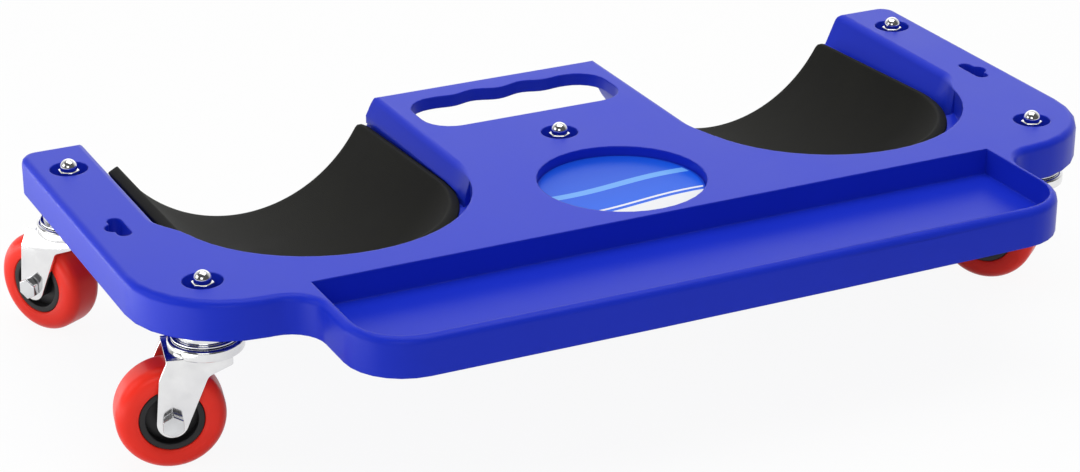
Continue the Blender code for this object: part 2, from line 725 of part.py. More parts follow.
def race_cap():
    inner = STEM_RADIUS + HOLE_PLAY
    rim_top = cap_low + CAP_RIM_HEIGHT
    roll = CAP_RADIUS / 8
    profile = [
        (inner, cap_top), (CAP_RADIUS - roll, cap_top), (CAP_RADIUS, cap_top - roll), (CAP_RADIUS, rim_top),
        (CAP_RIM_RADIUS, rim_top), (CAP_RIM_RADIUS, cap_low), (inner, cap_low),
    ]
    return settled(as_object("race_cap", turned(profile), tools, "cap"))


def leg_outline():
    # Side of a fork leg in the plane of the wheel: heading along X, height along Y
    knee = web_low - LEG_KNEE_DROP
    rise = knee - WHEEL_RADIUS
    start = math.pi + math.atan2(TRAIL - LEG_END_RADIUS - LEG_FRONT_KNEE, rise)
    end = 2 * math.pi + math.atan2(TRAIL + LEG_END_RADIUS - LEG_BACK_KNEE, rise)
    foot = arc(TRAIL, WHEEL_RADIUS, LEG_END_RADIUS, start, end, 9)
    back = [(LEG_BACK_KNEE, knee), (LEG_BACK_REACH, web_low), (LEG_BACK_REACH, web_top)]
    front = [(-LEG_FRONT_REACH, web_top), (-LEG_FRONT_REACH, web_low - LEG_FRONT_DROP)]
    return foot + back + front + [(LEG_FRONT_KNEE, knee)]


def fork():
    ring = [
        (STEM_RADIUS + HOLE_PLAY, race_top), (RACE_RADIUS - RACE_HEIGHT / 3, race_top),
        (RACE_RADIUS, race_top - RACE_HEIGHT / 3), (RACE_RADIUS, web_top + RACE_HEIGHT / 4),
        (RACE_RADIUS - RACE_HEIGHT / 4, web_low), (STEM_RADIUS + HOLE_PLAY, web_low),
    ]
    made = as_object("fork", turned(ring), tools, "fork")
    hole = STEM_RADIUS + HOLE_PLAY
    web = block((hole + OVERRUN, -leg_outer, web_low), (LEG_BACK_REACH, leg_outer, web_top))
    combine(made, as_object("fork_web", web, tools), "UNION")
    for name, low in (("near", leg_inner), ("far", -leg_outer)):
        leg = extruded(leg_outline(), -low - FORK_PLATE, -low)
        bmesh.ops.rotate(leg, cent=(0, 0, 0), matrix=Matrix.Rotation(math.pi / 2, 3, "X"), verts=leg.verts)
        combine(made, as_object("fork_leg_" + name, leg, tools), "UNION")
    bore = cylinder(AXLE_RADIUS + HOLE_PLAY, -2 * leg_outer, 2 * leg_outer, SMALL_ROUND_STEPS)
    bmesh.ops.rotate(bore, cent=(0, 0, 0), matrix=Matrix.Rotation(math.pi / 2, 3, "X"), verts=bore.verts)
    bmesh.ops.translate(bore, vec=(TRAIL, 0, WHEEL_RADIUS), verts=bore.verts)
    combine(made, as_object("fork_bore", bore, tools), "DIFFERENCE")
    return settled(made)


def axle_bolt():
    # Lies along Z here; the axle's own frame turns it level
    face = leg_outer + GAP
    head = as_object("axle_bolt", hexagon(AXLE_HEAD_FLATS, face, face + AXLE_HEAD_HEIGHT), tools, "axle")
    end = -face - GAP - AXLE_NUT_HEIGHT - AXLE_END
    shank = cylinder(AXLE_RADIUS, end, face + AXLE_HEAD_HEIGHT / 2, SMALL_ROUND_STEPS)
    combine(head, as_object("axle_shank", shank, tools), "UNION")
    return settled(head)


def axle_nut():
    face = leg_outer + GAP
    nut = as_object("axle_nut", hexagon(AXLE_HEAD_FLATS, -face - AXLE_NUT_HEIGHT, -face), tools, "axle")
    bore = cylinder(AXLE_RADIUS + GAP, -face - AXLE_NUT_HEIGHT - OVERRUN, -face + OVERRUN,
                    SMALL_ROUND_STEPS)
    combine(nut, as_object("axle_nut_bore", bore, tools), "DIFFERENCE")
    return settled(nut)


def axle_bush():
    half = leg_inner - GAP
    inner = AXLE_RADIUS + GAP
    ring = [(inner, half), (BUSH_RADIUS, half), (BUSH_RADIUS, -half), (inner, -half)]
    return settled(as_object("axle_bush", turned(ring, SMALL_ROUND_STEPS), tools, "bush"))


def hub():
    rim = TYRE_WIDTH / 2 - HUB_RIM_INSET
    rim_inner = HUB_RADIUS - HUB_RIM_WIDTH
    boss = leg_inner - HOLE_PLAY
    dish = rim - HUB_DISH
    bore = BUSH_RADIUS + GAP
    near = [(bore, boss), (HUB_BOSS_RADIUS, boss), (HUB_BOSS_RADIUS, dish), (rim_inner, dish),
            (rim_inner, rim), (HUB_RADIUS, rim)]
    far = [(radius, -height) for radius, height in reversed(near)]
    return settled(as_object("hub", turned(near + far), tools, "hub"))


def tyre():
    half = TYRE_WIDTH / 2
    bore = HUB_RADIUS + GAP
    turn_z = half - TYRE_SHOULDER
    turn_r = WHEEL_RADIUS - TYRE_SHOULDER
    shoulder = [
        (turn_r + TYRE_SHOULDER * math.sin(angle), turn_z + TYRE_SHOULDER * math.cos(angle))
        for angle in (math.pi * n / 6 for n in range(4))
    ]
    near = [(bore, half), *shoulder]
    far = [(radius, -height) for radius, height in reversed(near)]
    return settled(as_object("tyre", turned(near + far), tools, "tyre"))


def empty(name, location, parent=None):
    guide = bpy.data.objects.new(name, None)
    parts.objects.link(guide)
    guide.location = location
    guide.parent = parent
    return guide


def place(name, mesh, parent):
    made = bpy.data.objects.new(name, mesh)
    parts.objects.link(made)
    made.parent = parent


def casters():
    fixed = {"acorn_nut": acorn_nut(), "washer": washer(), "stem": stem(), "race_cap": race_cap()}
    fork_mesh = fork()
    on_axle = {"axle_bolt": axle_bolt(), "axle_nut": axle_nut(), "axle_bush": axle_bush()}
    wheel = {"hub": hub(), "tyre": tyre()}
    for corner, (x, y) in STEMS.items():
        mount = empty("stem_axis_" + corner, (x, y, 0.0))
        for kind, mesh in fixed.items():
            place(kind + "_" + corner, mesh, mount)
        swivel = empty("swivel_axis_" + corner, (x, y, 0.0))
        swivel.rotation_euler = (0.0, 0.0, SWIVELS[corner])
        place("fork_" + corner, fork_mesh, swivel)
        axle = empty("axle_axis_" + corner, (TRAIL, 0.0, WHEEL_RADIUS), swivel)
        axle.rotation_euler = (-math.pi / 2, 0.0, 0.0)
        for kind, mesh in {**on_axle, **wheel}.items():
            place(kind + "_" + corner, mesh, axle)


def centre_footprint():
    # Puts the middle of the whole footprint over the origin
    depsgraph = bpy.context.evaluated_depsgraph_get()
    corners = []
    for piece in parts.objects:
        if piece.type == "MESH":
            shown = piece.evaluated_get(depsgraph)
            corners += [shown.matrix_world @ vert.co for vert in shown.to_mesh().vertices]
            shown.to_mesh_clear()
    middle_x = (min(corner.x for corner in corners) + max(corner.x for corner in corners)) / 2
    middle_y = (min(corner.y for corner in corners) + max(corner.y for corner in corners)) / 2
    for piece in list(parts.objects) + list(tools.objects):
        if piece.parent is None:
            piece.location -= Vector((middle_x, middle_y, 0.0))


deck()
knee_pads()
label()
casters()
centre_footprint()
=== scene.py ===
import json
import math

import bmesh
import bpy
from mathutils import Matrix, Quaternion, Vector


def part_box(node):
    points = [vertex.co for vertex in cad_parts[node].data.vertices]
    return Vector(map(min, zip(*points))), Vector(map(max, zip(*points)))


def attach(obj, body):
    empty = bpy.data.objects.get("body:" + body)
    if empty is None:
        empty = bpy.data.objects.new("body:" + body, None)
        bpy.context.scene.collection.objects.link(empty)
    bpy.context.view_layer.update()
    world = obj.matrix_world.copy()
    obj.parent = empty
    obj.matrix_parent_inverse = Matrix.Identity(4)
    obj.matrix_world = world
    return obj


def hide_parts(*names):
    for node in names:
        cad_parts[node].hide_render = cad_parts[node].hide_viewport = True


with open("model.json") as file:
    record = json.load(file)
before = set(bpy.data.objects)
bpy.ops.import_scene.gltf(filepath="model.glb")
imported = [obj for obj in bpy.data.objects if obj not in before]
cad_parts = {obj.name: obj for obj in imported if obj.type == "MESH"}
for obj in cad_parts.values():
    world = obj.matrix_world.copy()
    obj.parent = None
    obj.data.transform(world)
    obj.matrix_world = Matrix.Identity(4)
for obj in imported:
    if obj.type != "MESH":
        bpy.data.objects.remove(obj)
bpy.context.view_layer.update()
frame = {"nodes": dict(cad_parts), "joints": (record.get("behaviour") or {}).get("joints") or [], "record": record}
nodes = frame["nodes"]
joints = {joint["name"]: joint for joint in frame["joints"]}
corners = ("front_left", "front_right", "rear_left", "rear_right", "centre")
print("frame loaded,", len(nodes), "nodes")


# shared shader groups

def addNode(tree, kind, inputs=None, **settings):
    made = tree.nodes.new(kind)
    for key, value in settings.items():
        setattr(made, key, value)
    for key, value in (inputs or {}).items():
        if isinstance(value, bpy.types.NodeSocket):
            tree.links.new(value, made.inputs[key])
        else:
            made.inputs[key].default_value = value
    return made


def newGroup(name, inputs, outputs):
    group = bpy.data.node_groups.new(name, "ShaderNodeTree")
    for label, kind, value in inputs:
        socket = group.interface.new_socket(label, in_out="INPUT", socket_type=kind)
        if value is not None:
            socket.default_value = value
    for label, kind in outputs:
        group.interface.new_socket(label, in_out="OUTPUT", socket_type=kind)
    return group, group.nodes.new("NodeGroupInput"), group.nodes.new("NodeGroupOutput")


def grainGroup():
    # fine moulded or cast skin: soft mottling for colour and roughness, and a height for bump
    group, source, sink = newGroup(
        "mouldedGrain",
        [("Vector", "NodeSocketVector", None), ("Grain Scale", "NodeSocketFloat", 1500.0),
         ("Mottle Scale", "NodeSocketFloat", 14.0), ("Colour", "NodeSocketColor", None),
         ("Mottle", "NodeSocketFloat", 0.06), ("Roughness", "NodeSocketFloat", 0.4),
         ("Rough Spread", "NodeSocketFloat", 0.08)],
        [("Colour", "NodeSocketColor"), ("Roughness", "NodeSocketFloat"), ("Height", "NodeSocketFloat")])
    fine = addNode(group, "ShaderNodeTexNoise", {"Vector": source.outputs["Vector"], "Detail": 3.0,
                                                 "Scale": source.outputs["Grain Scale"]})
    broad = addNode(group, "ShaderNodeTexNoise", {"Vector": source.outputs["Vector"], "Detail": 4.0,
                                                  "Scale": source.outputs["Mottle Scale"]})
    centred = addNode(group, "ShaderNodeMath", {0: broad.outputs["Fac"], 1: 0.5}, operation="SUBTRACT")
    shade = addNode(group, "ShaderNodeMath", {0: centred.outputs[0], 1: source.outputs["Mottle"]},
                    operation="MULTIPLY")
    gain = addNode(group, "ShaderNodeMath", {0: shade.outputs[0], 1: 1.0}, operation="ADD")
    tint = addNode(group, "ShaderNodeVectorMath", {0: source.outputs["Colour"], "Scale": gain.outputs[0]},
                   operation="SCALE")
    spread = addNode(group, "ShaderNodeMath", {0: centred.outputs[0], 1: source.outputs["Rough Spread"],
                                               2: source.outputs["Roughness"]}, operation="MULTIPLY_ADD")
    group.links.new(tint.outputs[0], sink.inputs["Colour"])
    group.links.new(spread.outputs[0], sink.inputs["Roughness"])
    group.links.new(fine.outputs["Fac"], sink.inputs["Height"])
    return group


def poreGroup():
    # closed-cell foam: tiny pits and paler scuffed patches
    group, source, sink = newGroup(
        "foamPores",
        [("Vector", "NodeSocketVector", None), ("Pore Scale", "NodeSocketFloat", 900.0),
         ("Colour", "NodeSocketColor", None), ("Scuff Colour", "NodeSocketColor", None)],
        [("Colour", "NodeSocketColor"), ("Height", "NodeSocketFloat"), ("Roughness", "NodeSocketFloat")])
    cells = addNode(group, "ShaderNodeTexVoronoi", {"Vector": source.outputs["Vector"],
                                                    "Scale": source.outputs["Pore Scale"]})
    pit = addNode(group, "ShaderNodeMapRange", {"Value": cells.outputs["Distance"], "From Min": 0.05,
                                                "From Max": 0.45})
    drift = addNode(group, "ShaderNodeTexNoise", {"Vector": source.outputs["Vector"], "Scale": 22.0,
                                                  "Detail": 6.0})
    scuff = addNode(group, "ShaderNodeMapRange", {"Value": drift.outputs["Fac"], "From Min": 0.42,
                                                  "From Max": 0.75})
    colour = addNode(group, "ShaderNodeMix", {0: scuff.outputs[0], 6: source.outputs["Colour"],
                                              7: source.outputs["Scuff Colour"]}, data_type="RGBA")
    rough = addNode(group, "ShaderNodeMapRange", {"Value": drift.outputs["Fac"], "To Min": 0.62,
                                                  "To Max": 0.8})
    group.links.new(colour.outputs[2], sink.inputs["Colour"])
    group.links.new(pit.outputs[0], sink.inputs["Height"])
    group.links.new(rough.outputs[0], sink.inputs["Roughness"])
    return group


def platedGroup():
    # bright plating: faint brushing along one axis, hazy patches and fine scratches
    group, source, sink = newGroup(
        "brightPlating",
        [("Vector", "NodeSocketVector", None), ("Stretch", "NodeSocketVector", (300.0, 300.0, 25.0)),
         ("Roughness", "NodeSocketFloat", 0.14), ("Haze", "NodeSocketFloat", 0.12),
         ("Colour", "NodeSocketColor", None), ("Dull Colour", "NodeSocketColor", None)],
        [("Colour", "NodeSocketColor"), ("Roughness", "NodeSocketFloat"), ("Height", "NodeSocketFloat")])
    longer = addNode(group, "ShaderNodeVectorMath", {0: source.outputs["Vector"], 1: source.outputs["Stretch"]},
                     operation="MULTIPLY")
    lines = addNode(group, "ShaderNodeTexNoise", {"Vector": longer.outputs[0], "Scale": 3.0, "Detail": 5.0})
    haze = addNode(group, "ShaderNodeTexNoise", {"Vector": source.outputs["Vector"], "Scale": 60.0,
                                                 "Detail": 3.0})
    rough = addNode(group, "ShaderNodeMath", {0: haze.outputs["Fac"], 1: source.outputs["Haze"],
                                              2: source.outputs["Roughness"]}, operation="MULTIPLY_ADD")
    dull = addNode(group, "ShaderNodeMapRange", {"Value": haze.outputs["Fac"], "From Min": 0.35,
                                                 "From Max": 0.8})
    colour = addNode(group, "ShaderNodeMix", {0: dull.outputs[0], 6: source.outputs["Colour"],
                                              7: source.outputs["Dull Colour"]}, data_type="RGBA")
    group.links.new(colour.outputs[2], sink.inputs["Colour"])
    group.links.new(rough.outputs[0], sink.inputs["Roughness"])
    group.links.new(lines.outputs["Fac"], sink.inputs["Height"])
    return group


groups = {"grain": grainGroup(), "pores": poreGroup(), "plated": platedGroup()}


def startMaterial(name):
    material = bpy.data.materials.new(name)
    material.use_nodes = True
    tree = material.node_tree
    place = tree.nodes.new("ShaderNodeTexCoord").outputs["Object"]
    return material, tree, tree.nodes["Principled BSDF"], place


grainDepth = 0.0002  # bump distance of mouldings, plating and print
platedBump = 0.06
edgeSamples = 6


def bumpInto(tree, shader, height, strength, distance, edge=0.0):
    bump = addNode(tree, "ShaderNodeBump", {"Strength": strength, "Distance": distance, "Height": height})
    if edge:
        soft = addNode(tree, "ShaderNodeBevel", {"Radius": edge}, samples=edgeSamples)
        tree.links.new(soft.outputs["Normal"], bump.inputs["Normal"])
    tree.links.new(bump.outputs["Normal"], shader.inputs["Normal"])


def mouldedMaterial(name, colour, roughness, specular, grain, mottle, bump, edge=0.0):
    material, tree, shader, place = startMaterial(name)
    skin = addNode(tree, "ShaderNodeGroup", node_tree=groups["grain"])
    tree.links.new(place, skin.inputs["Vector"])
    for key, value in (("Grain Scale", grain), ("Colour", (*colour, 1.0)), ("Mottle", mottle),
                       ("Roughness", roughness)):
        skin.inputs[key].default_value = value
    tree.links.new(skin.outputs["Colour"], shader.inputs["Base Color"])
    tree.links.new(skin.outputs["Roughness"], shader.inputs["Roughness"])
    shader.inputs["Specular IOR Level"].default_value = specular
    bumpInto(tree, shader, skin.outputs["Height"], bump, grainDepth, edge)
    return material


def platedMaterial(name, colour, dull, roughness, haze, stretch):
    material, tree, shader, place = startMaterial(name)
    skin = addNode(tree, "ShaderNodeGroup", node_tree=groups["plated"])
    tree.links.new(place, skin.inputs["Vector"])
    for key, value in (("Stretch", stretch), ("Roughness", roughness), ("Haze", haze),
                       ("Colour", (*colour, 1.0)), ("Dull Colour", (*dull, 1.0))):
        skin.inputs[key].default_value = value
    tree.links.new(skin.outputs["Colour"], shader.inputs["Base Color"])
    tree.links.new(skin.outputs["Roughness"], shader.inputs["Roughness"])
    shader.inputs["Metallic"].default_value = 1.0
    bumpInto(tree, shader, skin.outputs["Height"], platedBump, grainDepth)
    return material


foamSet = {"colour": (0.0105, 0.0105, 0.009, 1.0), "scuff": (0.015, 0.015, 0.0125, 1.0), "specular": 0.12,
           "bump": 0.25, "pitDepth": 0.0003}


def foamMaterial():
    material, tree, shader, place = startMaterial("blackFoam")
    skin = addNode(tree, "ShaderNodeGroup", node_tree=groups["pores"])
    tree.links.new(place, skin.inputs["Vector"])
    skin.inputs["Colour"].default_value = foamSet["colour"]
    skin.inputs["Scuff Colour"].default_value = foamSet["scuff"]
    tree.links.new(skin.outputs["Colour"], shader.inputs["Base Color"])
    tree.links.new(skin.outputs["Roughness"], shader.inputs["Roughness"])
    shader.inputs["Specular IOR Level"].default_value = foamSet["specular"]
    bumpInto(tree, shader, skin.outputs["Height"], foamSet["bump"], foamSet["pitDepth"])
    return material


# the deep blue is both the print colour of the edge ring and the painted shade toward the back of the disc
labelPrint = {"azure": (0.012, 0.15, 0.88, 1.0), "deepPrintAndShade": (0.008, 0.07, 0.62, 1.0), "pale": (0.16, 0.42, 0.92, 1.0),
              "white": (0.86, 0.87, 0.88, 1.0), "radius": 0.056, "fade": (-0.05, 0.055), "waveRate": 40.0,
              "waveHeight": 0.004, "bandTop": -0.030, "stripeRise": 0.036, "stripeHalf": 0.0036,
              "lineRise": 0.0048, "lineHalf": 0.0012, "rim": 0.0016, "grain": 600.0, "roughness": 0.33,
              "specular": 0.1, "bump": 0.03}


def labelMaterial(centre):
    # generic print: an azure disc with a pale stripe, a white band and line low down, and a darker edge ring; the
    # azure also darkens toward the back of the disc as painted shade from the recess
    material, tree, shader, place = startMaterial("labelPrint")
    moved = addNode(tree, "ShaderNodeVectorMath", {0: place, 1: tuple(centre)}, operation="SUBTRACT")
    split = addNode(tree, "ShaderNodeSeparateXYZ", {0: moved.outputs[0]})
    flat = addNode(tree, "ShaderNodeCombineXYZ", {0: split.outputs["X"], 1: split.outputs["Y"]})
    reach = addNode(tree, "ShaderNodeVectorMath", {0: flat.outputs[0]}, operation="LENGTH")
    # painted shade: the azure darkens to the deep blue from front to back, standing in for shade from the recess
    fade = addNode(tree, "ShaderNodeMapRange", {"Value": split.outputs["Y"], "From Min": labelPrint["fade"][0],
                                                "From Max": labelPrint["fade"][1]})
    azureWithPaintedShade = addNode(tree, "ShaderNodeMix", {0: fade.outputs[0], 6: labelPrint["azure"],
                                             7: labelPrint["deepPrintAndShade"]}, data_type="RGBA")
    wave = addNode(tree, "ShaderNodeMath", {0: split.outputs["X"], 1: labelPrint["waveRate"]},
                   operation="MULTIPLY")
    crest = addNode(tree, "ShaderNodeMath", {0: wave.outputs[0]}, operation="SINE")
    swell = addNode(tree, "ShaderNodeMath", {0: crest.outputs[0], 1: labelPrint["waveHeight"],
                                              2: labelPrint["bandTop"]}, operation="MULTIPLY_ADD")
    below = addNode(tree, "ShaderNodeMath", {0: split.outputs["Y"], 1: swell.outputs[0]},
                    operation="LESS_THAN")
    higher = addNode(tree, "ShaderNodeMath", {0: swell.outputs[0], 1: labelPrint["stripeRise"]}, operation="ADD")
    stripe = addNode(tree, "ShaderNodeMath", {0: split.outputs["Y"], 1: higher.outputs[0],
                                              2: labelPrint["stripeHalf"]}, operation="COMPARE")
    striped = addNode(tree, "ShaderNodeMix", {0: stripe.outputs[0], 6: azureWithPaintedShade.outputs[2],
                                              7: labelPrint["pale"]}, data_type="RGBA")
    above = addNode(tree, "ShaderNodeMath", {0: swell.outputs[0], 1: labelPrint["lineRise"]}, operation="ADD")
    line = addNode(tree, "ShaderNodeMath", {0: split.outputs["Y"], 1: above.outputs[0],
                                            2: labelPrint["lineHalf"]}, operation="COMPARE")
    either = addNode(tree, "ShaderNodeMath", {0: below.outputs[0], 1: line.outputs[0]}, operation="MAXIMUM")
    band = addNode(tree, "ShaderNodeMix", {0: either.outputs[0], 6: striped.outputs[2],
                                           7: labelPrint["white"]}, data_type="RGBA")
    rim = addNode(tree, "ShaderNodeMath", {0: reach.outputs["Value"],
                                           1: labelPrint["radius"] - labelPrint["rim"]}, operation="GREATER_THAN")
    ringed = addNode(tree, "ShaderNodeMix", {0: rim.outputs[0], 6: band.outputs[2],
                                             7: labelPrint["deepPrintAndShade"]}, data_type="RGBA")
    skin = addNode(tree, "ShaderNodeGroup", {"Colour": ringed.outputs[2], "Vector": place},
                   node_tree=groups["grain"])
    skin.inputs["Grain Scale"].default_value = labelPrint["grain"]
    skin.inputs["Roughness"].default_value = labelPrint["roughness"]
    shader.inputs["Specular IOR Level"].default_value = labelPrint["specular"]
    tree.links.new(skin.outputs["Colour"], shader.inputs["Base Color"])
    tree.links.new(skin.outputs["Roughness"], shader.inputs["Roughness"])
    bumpInto(tree, shader, skin.outputs["Height"], labelPrint["bump"], grainDepth)
    return material


mouldedSet = {
    "blue_moulding": {"name": "blueMoulding", "colour": (0.010, 0.030, 0.56), "roughness": 0.34, "specular": 0.13,
                      "grain": 1500.0, "mottle": 0.08, "bump": 0.08, "edge": 0.0016},
    "black_hub": {"name": "blackHub", "colour": (0.012, 0.012, 0.013), "roughness": 0.42, "specular": 0.35,
                  "grain": 1200.0, "mottle": 0.2, "bump": 0.12},
    "red_tyre": {"name": "redTyre", "colour": (0.97, 0.030, 0.014), "roughness": 0.32, "specular": 0.25,
                 "grain": 700.0, "mottle": 0.06, "bump": 0.05},
}
platedSet = {
    "chrome_nut": {"name": "chromeNut", "colour": (0.86, 0.86, 0.86), "dull": (0.7, 0.7, 0.71), "roughness": 0.05,
                   "haze": 0.08, "stretch": (200.0, 200.0, 40.0)},
    "zinc_washer": {"name": "zincWasher", "colour": (0.62, 0.63, 0.65), "dull": (0.5, 0.5, 0.5), "roughness": 0.2,
                    "haze": 0.15, "stretch": (200.0, 200.0, 200.0)},
    "zinc_stem": {"name": "zincStem", "colour": (0.58, 0.59, 0.6), "dull": (0.45, 0.45, 0.45), "roughness": 0.25,
                  "haze": 0.15, "stretch": (80.0, 80.0, 600.0)},
    "chrome_race_cap": {"name": "chromeRaceCap", "colour": (0.82, 0.83, 0.84), "dull": (0.68, 0.68, 0.7),
                        "roughness": 0.07, "haze": 0.1, "stretch": (60.0, 60.0, 500.0)},
    "chrome_fork": {"name": "chromeFork", "colour": (0.84, 0.84, 0.84), "dull": (0.72, 0.72, 0.73),
                    "roughness": 0.09, "haze": 0.12, "stretch": (220.0, 220.0, 30.0)},
    "zinc_axle": {"name": "zincAxle", "colour": (0.72, 0.73, 0.74), "dull": (0.55, 0.55, 0.56), "roughness": 0.14,
                  "haze": 0.14, "stretch": (150.0, 150.0, 150.0)},
    "steel_bush": {"name": "steelBush", "colour": (0.5, 0.5, 0.5), "dull": (0.4, 0.4, 0.4), "roughness": 0.3,
                   "haze": 0.2, "stretch": (100.0, 100.0, 100.0)},
}
labelLow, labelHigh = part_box("label_disc")
labelCentre = (labelLow + labelHigh) / 2
materials = {"black_foam": foamMaterial(), "label_print": labelMaterial(labelCentre)}
for slotName, setting in mouldedSet.items():
    materials[slotName] = mouldedMaterial(**setting)
for slotName, setting in platedSet.items():
    materials[slotName] = platedMaterial(**setting)
print("materials made")


# making pieces

def newPiece(name, mesh, slotName, body, *replaced):
    piece = bpy.data.objects.new(name, mesh)
    bpy.context.scene.collection.objects.link(piece)
    mesh.materials.clear()
    mesh.materials.append(materials[slotName])
    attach(piece, body)
    if replaced:
        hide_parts(*replaced)
    return piece


def meshFrom(form, name):
    mesh = bpy.data.meshes.new(name)
    bmesh.ops.recalc_face_normals(form, faces=form.faces)
    form.to_mesh(mesh)
    form.free()
    return mesh


def smoothed(mesh, degrees=40):
    mesh.shade_smooth()
    mesh.set_sharp_from_angle(angle=math.radians(degrees))
    return mesh


mergeWithin = 0.00002  # metres
flatWithin = 0.6  # degrees between faces that count as one


def softEdged(node, width, segments, limit):
    # a merged copy of a CAD node with its edges eased
    mesh = nodes[node].data.copy()
    form = bmesh.new()
    form.from_mesh(mesh)
    bmesh.ops.remove_doubles(form, verts=form.verts, dist=mergeWithin)
    bmesh.ops.dissolve_limit(form, angle_limit=math.radians(flatWithin), verts=form.verts, edges=form.edges)
    form.to_mesh(mesh)
    form.free()
    smoothed(mesh)
    shell = bpy.data.objects.new(node + "Shell", mesh)
    bpy.context.scene.collection.objects.link(shell)
    ease = shell.modifiers.new("ease", "BEVEL")
    ease.width = width
    ease.segments = segments
    ease.limit_method = "ANGLE"
    ease.angle_limit = math.radians(limit)
    ease.use_clamp_overlap = True
    ease.harden_normals = True
    steady = shell.modifiers.new("steady", "WEIGHTED_NORMAL")
    steady.keep_sharp = True
    depsgraph = bpy.context.evaluated_depsgraph_get()
    eased = bpy.data.meshes.new_from_object(shell.evaluated_get(depsgraph))
    bpy.data.objects.remove(shell)
    return eased


# deck moulding

deckEase = {"width": 0.0009, "segments": 2, "limit": 32}
deckMesh = softEdged("deck_shell", **deckEase)
newPiece("deckMoulding", deckMesh, "blue_moulding", "base", "deck_shell")
print("deck eased,", len(deckMesh.polygons), "faces")


# foam knee pads

pad = {"radius": 0.1023, "thickness": 0.008, "frontAngle": 65.0, "backAngle": 62.2, "cornerRadius": 0.006,
       "edgeRadius": 0.0016, "edgeSegments": 3, "edgeAngle": 50, "smoothBelow": 60, "arcSteps": 48,
       "cupSteps": 40, "backSteps": 30, "merge": 0.00001}


def padTop(side):
    # half pipe toward the back, cupped in front, with the back corners rounded in the sheet
    low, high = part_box("knee_pad_" + side)
    outer = pad["radius"] + pad["thickness"]
    axisX = (low.x + high.x) / 2
    axisZ = low.z + outer
    cupY = low.y + outer * math.sin(math.radians(pad["frontAngle"]))
    length = high.y - cupY
    front = math.radians(pad["frontAngle"])
    back = math.radians(pad["backAngle"])
    form = bmesh.new()
    steps = pad["arcSteps"]
    halfArc = pad["radius"] * back
    rows = []
    for n in range(-steps, steps + 1):
        share = n / steps
        beyond = max(0.0, abs(share) * halfArc - (halfArc - pad["cornerRadius"]))
        trim = pad["cornerRadius"] - math.sqrt(max(0.0, pad["cornerRadius"] ** 2 - beyond ** 2))
        row = []
        for k in range(pad["backSteps"] + 1):
            along = k / pad["backSteps"]
            angle = share * (front + (back - front) * along)
            row.append(form.verts.new((axisX + pad["radius"] * math.sin(angle), cupY + (length - trim) * along,
                                       axisZ - pad["radius"] * math.cos(angle))))
        rows.append(row)
    for a, b in zip(rows, rows[1:]):
        for k in range(pad["backSteps"]):
            form.faces.new((a[k], b[k], b[k + 1], a[k + 1]))
    rim = [row[0] for row in rows]
    cup = []
    for m in range(1, pad["cupSteps"]):
        heading = math.pi * m / pad["cupSteps"]
        ring = []
        for n in range(steps + 1):
            reach = pad["radius"] * math.sin(front * n / steps)
            ring.append(form.verts.new((axisX + reach * math.cos(heading), cupY - reach * math.sin(heading),
                                        axisZ - pad["radius"] * math.cos(front * n / steps))))
        cup.append(ring)
    right = rim[steps:]
    left = list(reversed(rim[:steps + 1]))
    fans = [right, *cup, left]
    for a, b in zip(fans, fans[1:]):
        for n in range(steps):
            form.faces.new((a[n], a[n + 1], b[n + 1], b[n]))
    bmesh.ops.remove_doubles(form, verts=form.verts, dist=pad["merge"])
    bmesh.ops.recalc_face_normals(form, faces=form.faces)
    return form


def padPiece(side):
    form = padTop(side)
    lowest = min(form.faces, key=lambda face: face.calc_center_median().z)
    if lowest.normal.z < 0:
        bmesh.ops.reverse_faces(form, faces=form.faces)
    mesh = bpy.data.meshes.new("kneePad")
    form.to_mesh(mesh)
    form.free()
    sheet = bpy.data.objects.new("padSheet", mesh)
    bpy.context.scene.collection.objects.link(sheet)
    thick = sheet.modifiers.new("thick", "SOLIDIFY")
    thick.thickness = pad["thickness"]
    thick.offset = -1.0
    ease = sheet.modifiers.new("ease", "BEVEL")
    ease.width = pad["edgeRadius"]
    ease.segments = pad["edgeSegments"]
    ease.limit_method = "ANGLE"
    ease.angle_limit = math.radians(pad["edgeAngle"])
    depsgraph = bpy.context.evaluated_depsgraph_get()
    solid = bpy.data.meshes.new_from_object(sheet.evaluated_get(depsgraph))
    bpy.data.objects.remove(sheet)
    piece = newPiece("kneePad" + side.capitalize(), smoothed(solid, pad["smoothBelow"]), "black_foam", "base",
                     "knee_pad_" + side)


for side in ("left", "right"):
    padPiece(side)
print("pads made")


# rings and discs, all turned by one tree

